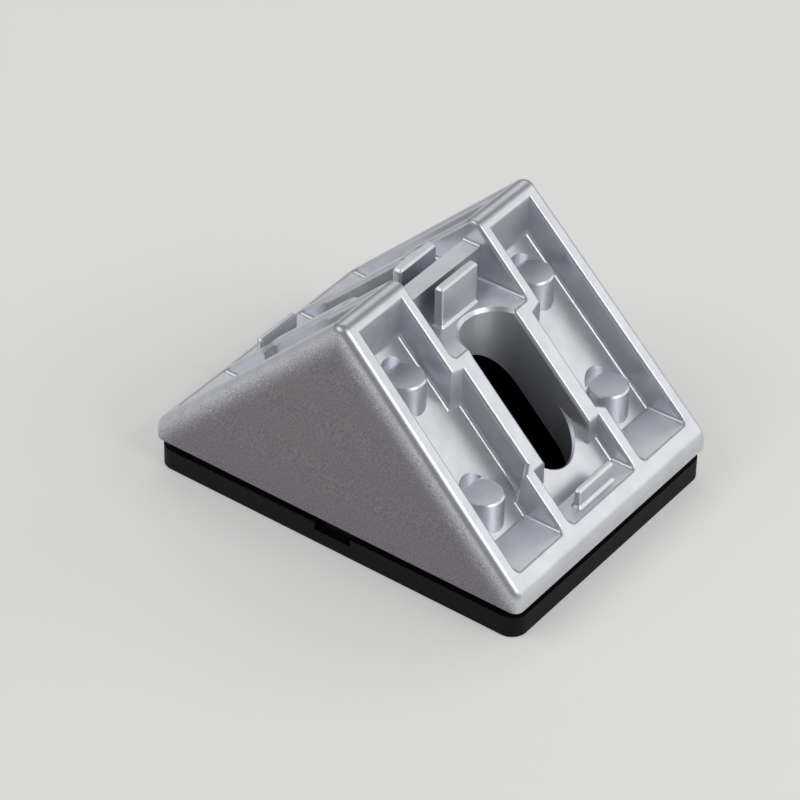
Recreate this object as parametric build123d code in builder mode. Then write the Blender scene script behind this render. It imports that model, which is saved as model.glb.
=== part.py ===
from build123d import *
import os
from math import radians, sqrt, tan

# Corner bracket for square aluminium profile, with its cover cap. Millimetres, +Z up.
# The bracket stands on its cap like a roof: the ridge runs along Y, and the two mounting
# faces look towards +X and -X, each at 45 degrees. The origin is the centre of the cap's
# flat outer face. The casting is symmetric about both upright planes, so a quarter of it
# is modelled and mirrored twice.

# ---------------------------------------------------------------- driving sizes: casting
leg_length = 38.0         # from one mounting face to the tip of the other foot, by caliper
bracket_width = 38.0      # along the ridge, at the open edge
foot_height = 2.1         # upright edge at the end of each foot
side_draft = 1.75         # degrees that each side wall leans in
ridge_round = 1.5
edge_round = 1.1          # along the side walls
foot_round = 2.2          # between a mounting face and its foot

side_wall = 2.3
plate_drop = 9.3          # plumb depth of the plate's inner surface below the mounting face
cavity_roof = 2.9         # half width of the cavity's flat roof
cavity_round = 1.2

# Bolt slot: an oblong through each plate, along the plumb draw direction of the mould.
slot_width = 8.7          # passes an M8 bolt with room to slide
slot_start = 4.45         # the end beside the ridge, from the ridge plane
slot_setback = 7.15       # the other end, back from the tip of the foot

# Weight-saving pockets, one on each side of the slot.
pocket_drop = 5.2         # plumb depth of the sloping floor below the mounting face
pocket_ledge = 3.75       # level floor at the foot end, above the open edge; the channel has it too
pocket_land = 2.2         # mounting face left between a pocket and the side wall
ridge_land = 1.5          # from the ridge line to a pocket

# The rib beside the slot steps sideways twice on its way from the ridge to the foot.
ridge_channel_gap = 2.65  # from the slot's side to the channel's wall, beside the ridge
foot_channel_gap = 1.85   # the same, beside the foot
ridge_rib = 1.6           # thickness of the rib beside the ridge
middle_rib = 2.45         # beside the slot
foot_rib = 1.85           # beside the foot
upper_jog_gap = 0.65      # from the saddle's exit to the first step, on the pocket's side
upper_jog_run = 0.3
lower_jog_setback = 8.3   # second step on the pocket's side, back from the tip of the foot
lower_jog_run = 0.6
shoulder_gap = 0.1        # from the slot's end to the step on the channel's side

# Round posts that back up the pocket floors.
post_diameter = 5.0
post_relief = 0.25        # clearance round a post where it dips into the sloping floor
post_y = 12.3
post_near_x = 4.95
post_setback = 9.8        # axis of the other post, back from the tip of the foot
post_rise = 1.7           # top of a post above the floor, at the post's axis

# Channel between the ribs, with the lugs that centre the bracket in a profile's groove.
saddle_drop = 7.95        # level floor beside the ridge, below the ridge line
channel_drop = 3.2        # plumb depth of the sloping floor between slot and foot
web_thickness = 2.3
web_drop = 3.6            # top of the web below the ridge line
lug_length = 6.8
ridge_lug_x = 2.9
ridge_lug_thickness = 1.2
ridge_lug_proud = 0.6     # how far its outer corner stands out of the mounting face
foot_lug_setback = 3.2    # axis of the other lug, back from the tip of the foot
foot_lug_thickness = 0.9
foot_lug_proud = 0.95
lug_round = 0.3           # upright edges of the lugs
lug_flare = 0.3           # at a lug's root, where it stands on its floor
lug_break = 0.25          # round a lug's top

edge_break = 0.2          # on top of the posts
slot_break = 0.4          # round both ends of a slot
rim_round = 0.5           # where pocket and channel walls meet the mounting face
floor_round = 0.45        # where their walls meet their floors

# ---------------------------------------------------------------- driving sizes: cap
cap_inset = 0.2           # the cap's outline inside the casting's
cap_band = 2.9            # height of the cap's visible edge
shadow_gap = 1.2          # recess between the cap's edge and the casting
shadow_depth = 1.0
cap_corner = 2.0
cap_break = 0.6           # round the cap's lower edge
cap_floor = 2.0
rim_clearance = 0.15      # between the cap's locating walls and the casting
rim_wall = 1.4
rim_height = 3.6
bead_radius = 0.5
bead_proud = 0.25
bead_length = 12.0
bead_height = 2.0         # above the casting's open edge
notch_width = 5.1         # for a screwdriver that lifts the cap
notch_depth = 1.0

# ---------------------------------------------------------------- worked-out sizes
ridge_height = (leg_length * sqrt(2) + foot_height) / 2   # sharp ridge above the open edge
foot_reach = ridge_height - foot_height                   # from the ridge plane to a foot
half_width = bracket_width / 2
lean = tan(radians(side_draft))
base = cap_band + shadow_gap                              # open edge above the origin
clear = 5.0                                               # cutters run this far outside
close = 0.01                                              # for picking edges by place

slot_side = slot_width / 2
slot_near_x = slot_start + slot_side
slot_far_x = foot_reach - slot_setback - slot_side
ridge_rib_inner = slot_side + ridge_channel_gap
ridge_rib_outer = ridge_rib_inner + ridge_rib
middle_rib_outer = slot_side + middle_rib
foot_rib_inner = slot_side + foot_channel_gap
foot_rib_outer = foot_rib_inner + foot_rib
saddle_height = ridge_height - saddle_drop
web_height = ridge_height - web_drop
web_side = web_thickness / 2

plan = Plane.XY.offset(base)
elevation = Plane(origin=(0, 0, base), x_dir=(1, 0, 0), z_dir=(0, -1, 0))


def face_height(x):
    """Height of the mounting face above the open edge."""
    return ridge_height - x


def side_y(x):
    """Distance from the middle plane to the side wall's outer edge, at the mounting face."""
    return half_width - lean * face_height(x)


def lug_top(x, thickness, proud):
    """Top of a lug whose outer corner stands proud of the mounting face."""
    return face_height(x + thickness / 2) + proud * sqrt(2)


def downward(part):
    """The edges round the floors of a cutter."""
    floors = part.faces().filter_by(lambda f: f.normal_at().Z < -0.5)
    return floors.edges()


# ---------------------------------------------------------------- cutters
upper_jog_x = saddle_drop + upper_jog_gap
lower_jog_x = foot_reach - lower_jog_setback
pocket_knee = ridge_height - pocket_drop - pocket_ledge
pocket_exit = ridge_height - pocket_ledge

with BuildPart() as pocket:
    with BuildSketch(plan):
        with BuildLine():
            Polyline(
                (ridge_land, side_y(ridge_land) - pocket_land),
                (ridge_land, ridge_rib_outer),
                (upper_jog_x, ridge_rib_outer),
                (upper_jog_x + upper_jog_run, middle_rib_outer),
                (lower_jog_x, middle_rib_outer),
                (lower_jog_x + lower_jog_run, foot_rib_outer),
                (pocket_exit + clear, foot_rib_outer),
                (pocket_exit + clear, side_y(pocket_exit + clear) - pocket_land),
                close=True,
            )
        make_face()
    extrude(amount=ridge_height)
    with BuildSketch(elevation):
        with BuildLine():
            Polyline(
                (ridge_land, face_height(ridge_land) - pocket_drop),
                (pocket_knee, pocket_ledge),
                (pocket_exit + clear, pocket_ledge),
                (pocket_exit + clear, ridge_height),
                (ridge_land, ridge_height),
                close=True,
            )
        make_face()
    extrude(amount=-half_width, mode=Mode.INTERSECT)
    fillet(downward(pocket.part), floor_round)

with BuildPart() as ridge_channel:
    with BuildSketch(elevation):
        with BuildLine():
            Polyline(
                (0, web_height),
                (web_side, web_height),
                (web_side, saddle_height),
                (saddle_drop + clear, saddle_height),
                (saddle_drop + clear, ridge_height),
                (0, ridge_height),
                close=True,
            )
        make_face()
    extrude(amount=-ridge_rib_inner)
    ends = ridge_channel.faces().sort_by(Axis.Y)[-1].edges()
    fillet(ends.filter_by_position(Axis.Z, base, base + web_height).filter_by(Axis.X), floor_round)

shoulder_x = slot_far_x + slot_side + shoulder_gap
channel_knee = ridge_height - channel_drop - pocket_ledge

with BuildPart() as foot_channel:
    with BuildSketch(plan):
        with BuildLine():
            Polyline(
                (slot_far_x, 0),
                (slot_far_x, slot_side),
                (shoulder_x, slot_side),
                (shoulder_x, foot_rib_inner),
                (pocket_exit + clear, foot_rib_inner),
                (pocket_exit + clear, 0),
                close=True,
            )
        make_face()
    extrude(amount=ridge_height)
    with BuildSketch(elevation):
        with BuildLine():
            Polyline(
                (slot_far_x, face_height(slot_far_x) - channel_drop),
                (channel_knee, pocket_ledge),
                (pocket_exit + clear, pocket_ledge),
                (pocket_exit + clear, ridge_height),
                (slot_far_x, ridge_height),
                close=True,
            )
        make_face()
    extrude(amount=-half_width, mode=Mode.INTERSECT)
    fillet(downward(foot_channel.part).group_by(Axis.Y)[-1], floor_round)

cavity_reach = ridge_height - plate_drop
cavity_top = cavity_reach - cavity_roof
cavity_side = half_width - side_wall

with BuildPart() as cavity:
    with BuildSketch(elevation):
        with BuildLine():
            Polyline(
                (cavity_reach + clear, -clear),
                (cavity_reach - cavity_top, cavity_top),
                (cavity_top - cavity_reach, cavity_top),
                (-cavity_reach - clear, -clear),
                close=True,
            )
        make_face()
    extrude(amount=half_width, both=True)
    for side in (1, -1):
        wall = Plane(origin=(0, side * cavity_side, base), z_dir=(0, side, lean))
        split(bisect_by=wall, keep=Keep.BOTTOM)
    fillet(cavity.edges().filter_by(Axis.Y).group_by(Axis.Z)[-1], cavity_round)

# Snap groove inside each side wall, for the beads on the cap's locating rim.
bead_y = cavity_side - lean * bead_height + bead_proud - bead_radius


def snap_bar(radius, length):
    """A round bar along X at each snap place."""
    with BuildPart() as bars:
        with BuildSketch(Plane.YZ.offset(-length / 2)):
            with Locations((bead_y, base + bead_height), (-bead_y, base + bead_height)):
                Circle(radius)
        extrude(amount=length)
    return bars.part


def lug(x, floor_height, thickness, proud):
    """A lug with a flared root, on a level floor."""
    with BuildPart() as block:
        with BuildSketch(plan.offset(floor_height)):
            with Locations((x, 0)):
                RectangleRounded(thickness, lug_length, lug_round)
        extrude(amount=lug_top(x, thickness, proud) - floor_height)
        chamfer(block.faces().sort_by(Axis.Z)[-1].edges(), lug_break)
        with BuildSketch(plan.offset(floor_height)):
            with Locations((x, 0)):
                root = (thickness + 2 * lug_flare, lug_length + 2 * lug_flare)
                RectangleRounded(*root, lug_round + lug_flare)
        extrude(amount=lug_flare, taper=45)
    return block.part


post_radius = post_diameter / 2


def post(x):
    """A post that rises from the sloping floor, and the relief round its sunken side."""
    top = face_height(x) - pocket_drop + post_rise
    with BuildPart() as relief:
        with BuildSketch(plan.offset(top)):
            with Locations((x, post_y)):
                Circle(post_radius + post_relief)
        extrude(amount=post_radius)
    with BuildPart() as stud:
        with BuildSketch(plan.offset(top)):
            with Locations((x, post_y)):
                Circle(post_radius)
        extrude(amount=-post_rise - post_radius - floor_round)
        chamfer(stud.edges().sort_by(Axis.Z)[-1], edge_break)
    return relief.part, stud.part


# ---------------------------------------------------------------- the casting
def in_mounting_plane(face):
    """Whether a face lies in the plane of the sloping mounting face."""
    centre = face.center()
    return face.geom_type == GeomType.PLANE and abs(centre.X + centre.Z - base - ridge_height) < close


with BuildPart() as bracket_body:
    with BuildSketch(elevation):
        with BuildLine():
            tangent = ridge_round / sqrt(2)
            arc_height = ridge_height - ridge_round * sqrt(2)
            CenterArc((0, arc_height), ridge_round, 45, 45)
            Polyline(
                (tangent, face_height(tangent)),
                (foot_reach, foot_height),
                (foot_reach, 0),
                (0, 0),
                (0, arc_height + ridge_round),
            )
        make_face()
    extrude(amount=-half_width)
    split(bisect_by=Plane(origin=(0, half_width, base), z_dir=(0, 1, lean)), keep=Keep.BOTTOM)

    # Round the edge between face and foot, then the side wall's upper and upright edges.
    foot_edge = bracket_body.edges().filter_by(Axis.Y).group_by(Axis.X)[-1].sort_by(Axis.Z)[-1]
    fillet(foot_edge, foot_round)
    side = bracket_body.faces().sort_by(Axis.Y)[-1]
    outline = side.edges().filter_by(lambda e: e.center().Z > base + close and e.center().X > close)
    fillet(outline, edge_round)

    add(pocket.part, mode=Mode.SUBTRACT)
    add(ridge_channel.part, mode=Mode.SUBTRACT)
    add(foot_channel.part, mode=Mode.SUBTRACT)
    with BuildSketch(plan):
        with Locations(((slot_near_x + slot_far_x) / 2, 0)):
            SlotCenterToCenter(slot_far_x - slot_near_x, slot_width)
    extrude(amount=ridge_height, mode=Mode.SUBTRACT)

    # Break both ends of the slot, then round the rims of the pocket and the channel.
    slot_rim = bracket_body.edges().filter_by(
        lambda e: abs(e.center().Z - base - saddle_height) < close and e.geom_type == GeomType.CIRCLE
        and abs(e.radius - slot_side) < close
    )
    lower_rim = bracket_body.edges().filter_by(
        lambda e: e.geom_type == GeomType.ELLIPSE and e.center().X > slot_far_x
        and abs(((e @ 0.5).X + (e @ 0.5).Z - base) - (ridge_height - channel_drop)) < close
        and (e @ 0.5).Y < slot_side
    )
    chamfer(slot_rim + lower_rim, slot_break)

    mounting_face = bracket_body.faces().filter_by(in_mounting_plane).sort_by(SortBy.AREA)[-1]
    pocket_rim = mounting_face.inner_wires()[0].edges()
    channel_rim = mounting_face.outer_wire().edges().filter_by(
        lambda e: close < e.center().Y < ridge_rib_inner + close and e.center().X < pocket_exit + close
    )
    fillet(pocket_rim + channel_rim, rim_round)

    for post_x in (post_near_x, foot_reach - post_setback):
        relief, stud = post(post_x)
        add(relief, mode=Mode.SUBTRACT)
        add(stud)
    mirror(about=Plane.XZ)
    add(lug(ridge_lug_x, saddle_height, ridge_lug_thickness, ridge_lug_proud))
    add(lug(foot_reach - foot_lug_setback, pocket_ledge, foot_lug_thickness, foot_lug_proud))
    mirror(about=Plane.YZ)

    add(cavity.part, mode=Mode.SUBTRACT)
    add(snap_bar(bead_radius + rim_clearance, bead_length + 2 * rim_clearance), mode=Mode.SUBTRACT)
bracket_body.part.label = "bracket_body"

# ---------------------------------------------------------------- the cap
cap_length = 2 * (foot_reach - cap_inset)
cap_width = bracket_width - 2 * cap_inset
neck_length = cap_length - 2 * shadow_depth
neck_width = cap_width - 2 * shadow_depth
rim_top = base + rim_height
rim_length = 2 * (cavity_reach - rim_height - cavity_round)
rim_y = cavity_side - lean * rim_height - rim_clearance - rim_wall / 2

with BuildPart() as cover_cap:
    with BuildSketch():
        RectangleRounded(cap_length, cap_width, cap_corner)
    extrude(amount=cap_band)
    chamfer(cover_cap.faces().sort_by(Axis.Z)[0].edges(), cap_break)

    # The neck carries the casting's open edge and leaves the shadow gap round it.
    with BuildSketch(Plane.XY.offset(cap_band)):
        RectangleRounded(neck_length, neck_width, cap_corner - shadow_depth)
    extrude(amount=shadow_gap)
    with BuildSketch(Plane.XY.offset(cap_floor)):
        Rectangle(neck_length - 2 * rim_wall, neck_width - 2 * rim_wall)
    extrude(amount=base, mode=Mode.SUBTRACT)

    # Two locating walls stand inside the cavity, each with a snap bead.
    with BuildSketch(Plane.XY.offset(cap_floor)):
        with Locations((0, rim_y), (0, -rim_y)):
            Rectangle(rim_length, rim_wall)
    extrude(amount=rim_top - cap_floor)
    add(snap_bar(bead_radius, bead_length))

    # Notch in the front of the visible edge.
    with BuildSketch(Plane.XY.offset(cap_band - notch_depth)):
        with Locations((0, -cap_width / 2)):
            Rectangle(notch_width, 2 * shadow_depth)
    extrude(amount=notch_depth, mode=Mode.SUBTRACT)
cover_cap.part.label = "cover_cap"

# ---------------------------------------------------------------- output
os.makedirs("parts", exist_ok=True)
export_step(bracket_body.part, "parts/bracket_body.step")
export_step(cover_cap.part, "parts/cover_cap.step")
for piece in (bracket_body.part, cover_cap.part):
    print(piece.label, "volume", round(piece.volume), "solids", len(piece.solids()))
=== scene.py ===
# %% [markdown]
# # Corner bracket for square aluminium profile
#
# The object has two pieces: a die-cast aluminium bracket, and a black plastic cap that closes
# its open side. Their shapes come from the CAD model, which is loaded here as a fixed frame.
# This notebook gives both pieces their finish, and then builds the floor, the light and the
# camera.

# %% Load the CAD frame
from math import cos, pi, radians, sin

import bmesh
import bpy
from mathutils import Matrix, Vector


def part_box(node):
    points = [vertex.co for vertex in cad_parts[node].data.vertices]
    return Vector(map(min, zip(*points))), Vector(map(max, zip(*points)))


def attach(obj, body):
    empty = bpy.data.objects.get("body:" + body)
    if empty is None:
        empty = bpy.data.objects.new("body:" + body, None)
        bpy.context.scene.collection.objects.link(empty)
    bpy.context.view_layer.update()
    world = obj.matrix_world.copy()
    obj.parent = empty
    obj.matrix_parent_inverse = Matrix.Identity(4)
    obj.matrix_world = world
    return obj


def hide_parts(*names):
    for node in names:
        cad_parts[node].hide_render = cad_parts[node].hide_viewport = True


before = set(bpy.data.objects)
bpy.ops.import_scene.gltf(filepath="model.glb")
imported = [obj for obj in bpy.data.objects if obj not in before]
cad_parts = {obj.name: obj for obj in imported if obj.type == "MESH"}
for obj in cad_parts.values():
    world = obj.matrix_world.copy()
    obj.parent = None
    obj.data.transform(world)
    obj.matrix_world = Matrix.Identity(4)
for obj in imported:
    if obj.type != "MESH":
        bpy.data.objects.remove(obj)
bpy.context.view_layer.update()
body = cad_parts["bracket_body"]
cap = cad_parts["cover_cap"]
for node in (body, cap):
    print(node.name, "has", len(node.data.polygons), "triangles")

# %% [markdown]
# ## Sizes
#
# Blender works in metres, but a bracket this small is thought of in millimetres. One name for
# a millimetre keeps every size below readable. The main heights could be typed in, but they
# are read from the frame, so that the scene follows the CAD model if that changes.

# %% Sizes
mm = 0.001
body_low, body_high = [Vector(corner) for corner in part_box("bracket_body")]
half_width = body_high.y
open_edge_z = body_low.z
print("open edge", open_edge_z / mm, "ridge", body_high.z / mm, "half width", half_width / mm)


# %% [markdown]
# ## Small helpers
#
# Colours are written as sRGB hex values, as a paint chart gives them, and one function turns
# them into the linear values that the shader needs. A second function adds a node, sets its
# values and connects its inputs, so that a material reads as a short list of steps. A third
# starts a material with its main shader.

# %% Helpers
def linear(hex_colour):
    channels = [int(hex_colour[i:i + 2], 16) / 255 for i in (1, 3, 5)]
    return [c / 12.92 if c <= 0.04045 else ((c + 0.055) / 1.055) ** 2.4
            for c in channels] + [1.0]


def add_node(tree, kind, settings=None, inputs=None):
    node = tree.nodes.new(kind)
    for name, value in (settings or {}).items():
        setattr(node, name, value)
    for name, value in (inputs or {}).items():
        if isinstance(value, bpy.types.NodeSocket):
            tree.links.new(value, node.inputs[name])
        else:
            node.inputs[name].default_value = value
    return node


def new_material(name):
    material = bpy.data.materials.new(name)
    material.use_nodes = True
    tree = material.node_tree
    return material, tree, tree.nodes["Principled BSDF"]


print("white is", linear("#FFFFFF"))

# %% [markdown]
# ## Die-cast aluminium: its three patterns
#
# The bracket is cast from an aluminium-silicon alloy and then tumbled with ceramic chips. The
# chips leave a fine, even grain on the outer side walls, which scatter light and look matt.
# Their darker grey is partly that finish and partly painted shade, set into their colour. The
# faces and pockets keep more of the mould's smooth skin and look brighter. Each could have a
# material of its own, but a hard seam would show where they meet, so one material holds both.
#
# It starts with three noises: the tumbled grain, the specks that the chips rub bright, and
# the slow unevenness of the cast skin. Real grain and specks are finer than 0.1 mm and
# wouldn't show, so both are drawn a little coarser.

# %% Die-cast aluminium: its three patterns
cast_aluminium, tree, shader = new_material("die_cast_aluminium_tumbled")
coordinates = add_node(tree, "ShaderNodeTexCoord").outputs
place = coordinates["Object"]
grain_size, speck_size, skin_size = 0.22 * mm, 0.11 * mm, 2.5 * mm
grain, specks, skin = [
    add_node(tree, "ShaderNodeTexNoise", None,
             {"Vector": place, "Scale": 1 / size, "Detail": detail, "Roughness": unevenness}
             ).outputs["Fac"]
    for size, detail, unevenness in ((grain_size, 3.0, 0.6), (speck_size, 1.0, 0.5),
                                     (skin_size, 2.0, 0.5))]
print("grain", grain_size / mm, "mm, specks", speck_size / mm, "mm, skin", skin_size / mm, "mm")

# %% [markdown]
# ## Die-cast aluminium: place and direction
#
# A mask could be painted on the mesh, but that would be lost with every change of the CAD
# model. Here masks are worked out from two things that every point knows: where it lies, and
# which way its surface faces. This cell takes the parts of both that the masks need, without
# their signs, because the bracket's two sides are alike.

# %% Die-cast aluminium: place and direction
where = add_node(tree, "ShaderNodeSeparateXYZ", None, {"Vector": place}).outputs
facing = add_node(tree, "ShaderNodeSeparateXYZ", None, {"Vector": coordinates["Normal"]}).outputs
from_middle, outward, sideways, level_facing = [
    add_node(tree, "ShaderNodeMath", {"operation": "ABSOLUTE"}, {0: signed}).outputs[0]
    for signed in (where["X"], where["Y"], facing["Y"], facing["Z"])]
print("nodes so far", len(tree.nodes))

# %% [markdown]
# ## Die-cast aluminium: the tumbled side walls
#
# A side wall faces sideways and lies far out. The specks are added to how squarely it faces,
# so its border along the rounded edges breaks up into grains, as tumbling leaves it. This mask
# carries the side wall's rougher finish and also its darker colour, which is partly painted shade.

# %% Die-cast aluminium: the tumbled side walls
draft_depth = 2.0 * mm
edge_speckle = 0.34
side_starts, side_is_full = 0.86, 1.12
speckled = add_node(tree, "ShaderNodeMath", {"operation": "MULTIPLY_ADD"},
                    {0: specks, 1: edge_speckle, 2: sideways}).outputs[0]
flank = add_node(tree, "ShaderNodeMapRange", {"interpolation_type": "SMOOTHSTEP"},
                 {"Value": speckled, "From Min": side_starts, "From Max": side_is_full}
                 ).outputs["Result"]
is_outer = add_node(tree, "ShaderNodeMath", {"operation": "GREATER_THAN"},
                    {0: outward, 1: half_width - draft_depth}).outputs[0]
side_wall = add_node(tree, "ShaderNodeMath", {"operation": "MULTIPLY"},
                     {0: flank, 1: is_outer}).outputs[0]
print("side walls lie outside", (half_width - draft_depth) / mm, "mm")

# %% [markdown]
# ## Die-cast aluminium: the worn edges
#
# The chips strike the edges of a side wall hardest and rub its last few millimetres bright
# again, in specks. Both sloping faces stand at 45 degrees, so along them the distance from
# the middle and the height have one sum. What a point lacks of that sum is how far it lies
# plumb below the face. The specks are added to it, which scatters the border.

# %% Die-cast aluminium: the worn edges
foot_height = 2.1 * mm
speck_scatter = 8.0 * mm
worn_to, unworn_from = 4.2 * mm, 8.2 * mm
sum_on_face = body_high.x + open_edge_z + foot_height
sum_here = add_node(tree, "ShaderNodeMath", {"operation": "ADD"},
                    {0: from_middle, 1: where["Z"]}).outputs[0]
below_face = add_node(tree, "ShaderNodeMath", {"operation": "SUBTRACT"},
                      {0: sum_on_face, 1: sum_here}).outputs[0]
scattered = add_node(tree, "ShaderNodeMath", {"operation": "MULTIPLY_ADD"},
                     {0: specks, 1: speck_scatter, 2: below_face}).outputs[0]
unworn = add_node(tree, "ShaderNodeMapRange", {"interpolation_type": "SMOOTHSTEP"},
                  {"Value": scattered, "From Min": worn_to, "From Max": unworn_from}
                  ).outputs["Result"]
side_wall = add_node(tree, "ShaderNodeMath", {"operation": "MULTIPLY"},
                     {0: side_wall, 1: unworn}).outputs[0]
print("sum of distance and height on a face", round(sum_on_face / mm, 2), "mm")

# %% [markdown]
# ## Die-cast aluminium: the slot walls
#
# The chips can't work inside the bolt slots, so the walls there keep the dull film that the
# casting came out with, and mirror less than the rest. They are the upright walls between a
# slot's two ends and within its half width. The margin keeps them clear of rounding errors.

# %% Die-cast aluminium: the slot walls
slot_side = 4.35 * mm
slot_start, slot_end = 4.45 * mm, body_high.x - 7.15 * mm
margin = 0.05 * mm
nearly_upright = 0.15
in_slot = 1.0
for comparison, value, limit in (("LESS_THAN", level_facing, nearly_upright),
                                 ("LESS_THAN", outward, slot_side + margin),
                                 ("GREATER_THAN", from_middle, slot_start - margin),
                                 ("LESS_THAN", from_middle, slot_end + margin)):
    holds = add_node(tree, "ShaderNodeMath", {"operation": comparison},
                     {0: value, 1: limit}).outputs[0]
    in_slot = add_node(tree, "ShaderNodeMath", {"operation": "MULTIPLY"},
                       {0: in_slot, 1: holds}).outputs[0]
print("slot from", slot_start / mm, "to", round(slot_end / mm, 2), "mm")

# %% [markdown]
# ## Die-cast aluminium: colour
#
# A face is pale and varies slowly with the cast skin. A side wall is grey and varies with the
# tumbled grain; its grey is partly the tumbled finish and partly painted shade. Each tone comes
# from a colour ramp over its noise, and the side wall's mask mixes the two.

# %% Die-cast aluminium: colour
face_tone = add_node(tree, "ShaderNodeValToRGB", None, {"Fac": skin})
side_tone_with_painted_shade = add_node(tree, "ShaderNodeValToRGB", None, {"Fac": grain})
# The side wall's grey stops are set darker than the tumbled finish alone; part of that darkness is
# painted shade.
for tone, stops in ((face_tone, ((0.30, "#D4D6DD"), (0.70, "#DFE1E8"))),
                    (side_tone_with_painted_shade, ((0.32, "#7E7B7F"), (0.68, "#9E9B9F")))):
    for stop, (position, colour) in zip(tone.color_ramp.elements, stops):
        stop.position = position
        stop.color = linear(colour)
    print("ramp", stops)
both_tones = add_node(tree, "ShaderNodeMix", {"data_type": "RGBA"},
                      {"Factor": side_wall, "A": face_tone.outputs["Color"],
                       "B": side_tone_with_painted_shade.outputs["Color"]}).outputs["Result"]
tree.links.new(both_tones, shader.inputs["Base Color"])

# %% [markdown]
# ## Die-cast aluminium: gloss and depth
#
# A side wall is rougher than a face and its grain is deeper. A casting always carries a thin
# film of oxide, which scatters a little light, so even its brightest skin is set just short
# of a full metal, and the slot walls are set lower. Map Range nodes turn each mask into the
# values on either side of it.

# %% Die-cast aluminium: gloss and depth
bare_metal, filmed_metal = 0.90, 0.72
face_roughness, side_roughness = 0.36, 0.50
face_relief, side_relief = 0.10, 0.35
grain_depth = 0.05 * mm
metallic, roughness, relief = [
    add_node(tree, "ShaderNodeMapRange", None,
             {"Value": mask, "To Min": outside, "To Max": inside}).outputs["Result"]
    for mask, outside, inside in ((in_slot, bare_metal, filmed_metal),
                                  (side_wall, face_roughness, side_roughness),
                                  (side_wall, face_relief, side_relief))]
bump = add_node(tree, "ShaderNodeBump", None,
                {"Strength": relief, "Distance": grain_depth, "Height": grain}).outputs["Normal"]
for value, socket in ((metallic, "Metallic"), (roughness, "Roughness"), (bump, "Normal")):
    tree.links.new(value, shader.inputs[socket])
print(cast_aluminium.name, "has", len(tree.nodes), "nodes")

# %% [markdown]
# ## Black plastic
#
# The cap is injection-moulded in black polyamide. Its mould was spark-eroded, which gives the
# plastic a very fine matt grain, so it shows only a soft sheen along its edges. One flat
# black would look like paint. A noise varies the tone a little and raises the grain, which is
# drawn coarser than the real one, because that is too fine to show.

# %% Black plastic
black_plastic, tree, shader = new_material("black_polyamide_moulded")
place = add_node(tree, "ShaderNodeTexCoord").outputs["Object"]
erosion_size, erosion_depth = 0.15 * mm, 0.03 * mm
erosion = add_node(tree, "ShaderNodeTexNoise", None,
                   {"Vector": place, "Scale": 1 / erosion_size, "Detail": 2.0,
                    "Roughness": 0.5}).outputs["Fac"]
tone = add_node(tree, "ShaderNodeValToRGB", None, {"Fac": erosion})
for stop, (position, colour) in zip(tone.color_ramp.elements,
                                    ((0.35, "#050505"), (0.65, "#0A0A0A"))):
    stop.position = position
    stop.color = linear(colour)
bump = add_node(tree, "ShaderNodeBump", None,
                {"Strength": 0.15, "Distance": erosion_depth, "Height": erosion}).outputs["Normal"]
tree.links.new(tone.outputs["Color"], shader.inputs["Base Color"])
tree.links.new(bump, shader.inputs["Normal"])
shader.inputs["Roughness"].default_value = 0.60
shader.inputs["Specular IOR Level"].default_value = 0.18
shader.inputs["IOR"].default_value = 1.5
print("erosion", erosion_size / mm, "mm")

# %% [markdown]
# ## The cap's lower edge
#
# The CAD model breaks the cap's lower edge with one broad bevel. On a moulded cap that edge is
# nearly sharp, and the visible band looks as tall as it is. A Bevel modifier could only add to
# the edge that is there, so the piece shown here is a merged copy of the cap whose own bevel
# is made finer, inside the same outline. Its upper ring comes down to the finer bevel's
# height, and its lower ring moves out by the difference.

# %% Merge a copy of the cap
merge_distance = 0.001 * mm
merged = bmesh.new()
merged.from_mesh(cap.data)
merged.transform(cap.matrix_world)
bmesh.ops.remove_doubles(merged, verts=merged.verts, dist=merge_distance)
print("vertices", len(cap.data.vertices), "merged to", len(merged.verts))

# %% [markdown]
# ## The cap's finer bevel
#
# The lower ring follows the cap's rounded corners, so scaling it as a whole would shift its
# corners. Instead each point moves away from the nearest point of the rectangle that joins
# the corners' centres, which widens the straight sides and the arcs by the same amount.

# %% The cap's finer bevel
cad_bevel, fine_bevel = 0.6 * mm, 0.15 * mm
corner_radius = 2.0 * mm
cap_high = Vector(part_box("cover_cap")[1])
corner_centre = (cap_high.x - corner_radius, cap_high.y - corner_radius)
spread = (corner_radius - fine_bevel) / (corner_radius - cad_bevel)
above_bevel, between_rings = 1.1 * cad_bevel, 0.5 * cad_bevel
moved = 0
for vert in merged.verts:
    if vert.co.z > above_bevel:
        continue
    if vert.co.z > between_rings:
        vert.co.z = fine_bevel
    else:
        for axis, reach in enumerate(corner_centre):
            centre = max(-reach, min(reach, vert.co[axis]))
            vert.co[axis] = centre + spread * (vert.co[axis] - centre)
    moved += 1
print("vertices moved", moved, "of", len(merged.verts))

# %% [markdown]
# ## The cap with its finer edge
#
# The copy could be written back with to_mesh, but it would keep the CAD mesh's own normals,
# which no longer fit the moved points. A mesh built anew from the points and faces has none,
# so Blender shades it smooth and keeps the edges sharp that turn by more than an angle.

# %% The cap with its finer edge
sharp_angle = radians(30)
merged.verts.index_update()
fine_mesh = bpy.data.meshes.new("fine_edged_cap")
fine_mesh.from_pydata([vert.co[:] for vert in merged.verts], [],
                      [[vert.index for vert in face.verts] for face in merged.faces])
fine_mesh.materials.append(black_plastic)
merged.free()
fine_mesh.shade_smooth()
fine_mesh.set_sharp_from_angle(angle=sharp_angle)
fine_cap = bpy.data.objects.new("fine_edged_cap", fine_mesh)
bpy.context.scene.collection.objects.link(fine_cap)
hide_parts("cover_cap")
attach(fine_cap, "root")
print(fine_cap.name, "is", black_plastic.name)

# %% [markdown]
# ## The finish on the casting
#
# The casting's CAD shape is right as it is, so its mesh stays, and only the material in each
# of its slots is exchanged.

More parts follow.
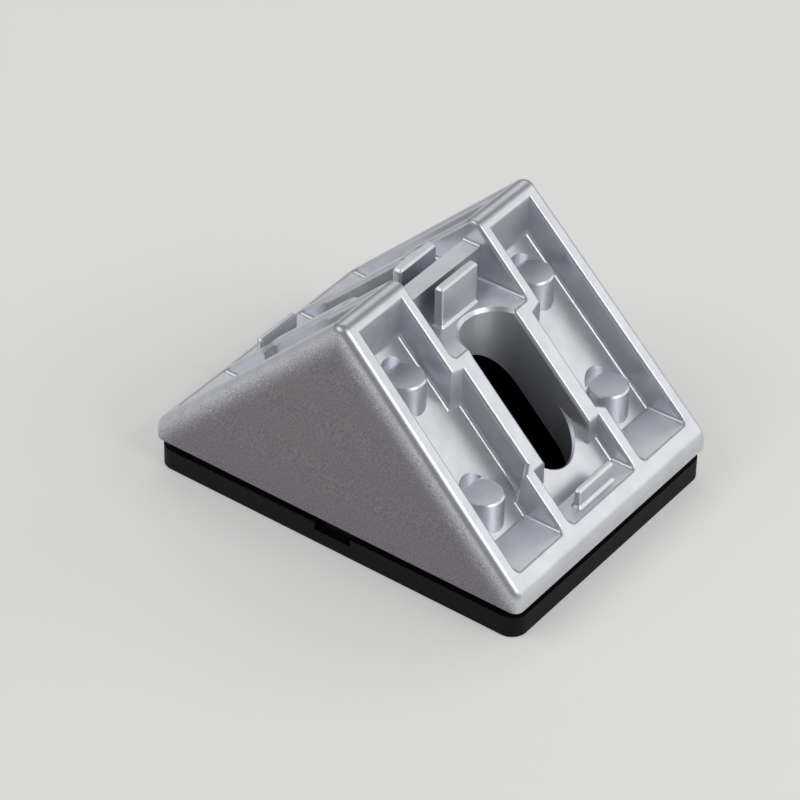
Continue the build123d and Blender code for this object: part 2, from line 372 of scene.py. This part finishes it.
# %% The finish on the casting
for slot in body.material_slots:
    slot.material = cast_aluminium
print(body.name, "is", cast_aluminium.name)

# %% [markdown]
# ## Floor
#
# A plain pale sheet, far larger than the view, carries the bracket's soft shadow. More light
# would make it paler, but would wash out the bracket too. So a part of its brightness is its
# own, and only for what looks at it straight or in a reflection. The sheet lies a hair above
# the cap's flat underside, so that the two never coincide.

# %% Floor
half_sheet = 4.0
hair = 0.02 * mm
floor_mesh = bpy.data.meshes.new("floor")
sheet = bmesh.new()
bmesh.ops.create_grid(sheet, x_segments=1, y_segments=1, size=half_sheet,
                      matrix=Matrix.Translation((0, 0, hair)))
sheet.to_mesh(floor_mesh)
sheet.free()
floor = bpy.data.objects.new("floor", floor_mesh)
bpy.context.scene.collection.objects.link(floor)
print("floor", floor.dimensions[:2])

# %% [markdown]
# ## The floor's finish
#
# The sheet is matt card, which has no gloss, so it mirrors neither the bracket nor the lamps.
# The Light Path node tells which rays look at it, and only those see its own brightness.

# %% The floor's finish
own_brightness = 0.26
pale_sheet, tree, shader = new_material("pale_sheet")
shader.inputs["Base Color"].default_value = linear("#E4E3E1")
shader.inputs["Roughness"].default_value = 0.9
shader.inputs["Specular IOR Level"].default_value = 0.0
shader.inputs["Emission Color"].default_value = linear("#FFFFFF")
path = add_node(tree, "ShaderNodeLightPath").outputs
seen = path["Is Camera Ray"]
for ray in ("Is Glossy Ray", "Is Transmission Ray"):
    seen = add_node(tree, "ShaderNodeMath", {"operation": "MAXIMUM"},
                    {0: seen, 1: path[ray]}).outputs[0]
lift = add_node(tree, "ShaderNodeMath", {"operation": "MULTIPLY"},
                {0: seen, 1: own_brightness}).outputs[0]
tree.links.new(lift, shader.inputs["Emission Strength"])
floor_mesh.materials.append(pale_sheet)
print(floor.name, "is", pale_sheet.name)

# %% [markdown]
# ## Room light
#
# An even grey room fills the shadows and is what the metal mirrors between the lamps. A sky
# texture would tint it, and a white room would leave no contrast in the pockets.

# %% Room light
room_strength = 0.20
world = bpy.data.worlds.new("even_room")
world.use_nodes = True
room = world.node_tree.nodes["Background"]
room.inputs["Color"].default_value = linear("#FFFFFF")
room.inputs["Strength"].default_value = room_strength
bpy.context.scene.world = world
print("room strength", room_strength)

# %% [markdown]
# ## Soft panels
#
# Metal shows its surroundings more than its own colour, so the lamps are placed as the things
# that it mirrors, each by its angles round the bracket. Seen from the camera, a wide panel at
# the right fills the sloping face. A smaller, bright one at the front right draws the thin
# highlights along the rounded edges. A weak one behind lifts the level tops, and one at the
# left stands before the tumbled side wall and lights its grain.

# %% Soft panels
panel_distance = 0.6
target = Vector((0, 0, open_edge_z + 10 * mm))


def soft_panel(name, azimuth, elevation, width, height, brightness):
    """An area light that faces the bracket; brightness is what a mirror would show of it."""
    lamp = bpy.data.lights.new(name, "AREA")
    lamp.shape = "RECTANGLE"
    lamp.size, lamp.size_y = width, height
    lamp.energy = brightness * pi * width * height
    azimuth, elevation = radians(azimuth), radians(elevation)
    towards = Vector((cos(elevation) * cos(azimuth), cos(elevation) * sin(azimuth),
                      sin(elevation)))
    holder = bpy.data.objects.new(name, lamp)
    holder.location = target + panel_distance * towards
    holder.rotation_euler = towards.to_track_quat("Z", "Y").to_euler()
    bpy.context.scene.collection.objects.link(holder)
    print(name, "energy", round(lamp.energy, 2))


soft_panel("wide_panel", azimuth=46, elevation=20, width=0.66, height=0.36, brightness=1.05)
soft_panel("edge_panel", azimuth=-2, elevation=40, width=0.30, height=0.26, brightness=3.0)
soft_panel("back_panel", azimuth=128, elevation=46, width=0.50, height=0.34, brightness=0.75)
soft_panel("front_panel", azimuth=-126, elevation=44, width=0.44, height=0.38, brightness=1.4)

# %% [markdown]
# ## Camera
#
# A long lens from about 45 cm away, at the angle a person looks down on a small part on a
# bench. A Track To constraint could aim it, but would allow no roll. So the camera's own
# right, up and back directions are worked out from its angles and set as one turn.

# %% The camera's directions
view_azimuth = radians(35.97)
view_elevation = radians(38.28)
view_roll = radians(1.19)
back = Vector((sin(view_azimuth) * cos(view_elevation), -cos(view_azimuth) * cos(view_elevation),
               sin(view_elevation)))
level = Vector((cos(view_azimuth), sin(view_azimuth), 0))
upright = back.cross(level)
right = cos(view_roll) * level + sin(view_roll) * upright
up = cos(view_roll) * upright - sin(view_roll) * level
print("looks along", [round(-value, 3) for value in back])

# %% [markdown]
# ## The camera's place and lens
#
# The camera stands back from a point inside the bracket and then moves a few millimetres
# aside and down, which frames the bracket without turning the view.

# %% The camera's place and lens
view_distance = 454.4 * mm
aim = Vector((0, 0, open_edge_z + 13.85 * mm))
aside, upward = -3.79 * mm, -6.16 * mm
lens = bpy.data.cameras.new("camera")
lens.sensor_width = 36.0
lens.lens = 179.7
lens.clip_start = 0.01
camera = bpy.data.objects.new("camera", lens)
spot = aim + view_distance * back + aside * right + upward * up
turn = Matrix((right, up, back)).transposed().to_4x4()
camera.matrix_world = Matrix.Translation(spot) @ turn
bpy.context.scene.collection.objects.link(camera)
bpy.context.scene.camera = camera
bpy.context.scene.view_settings.view_transform = "Standard"
print("camera at", [round(value / mm, 1) for value in camera.location])
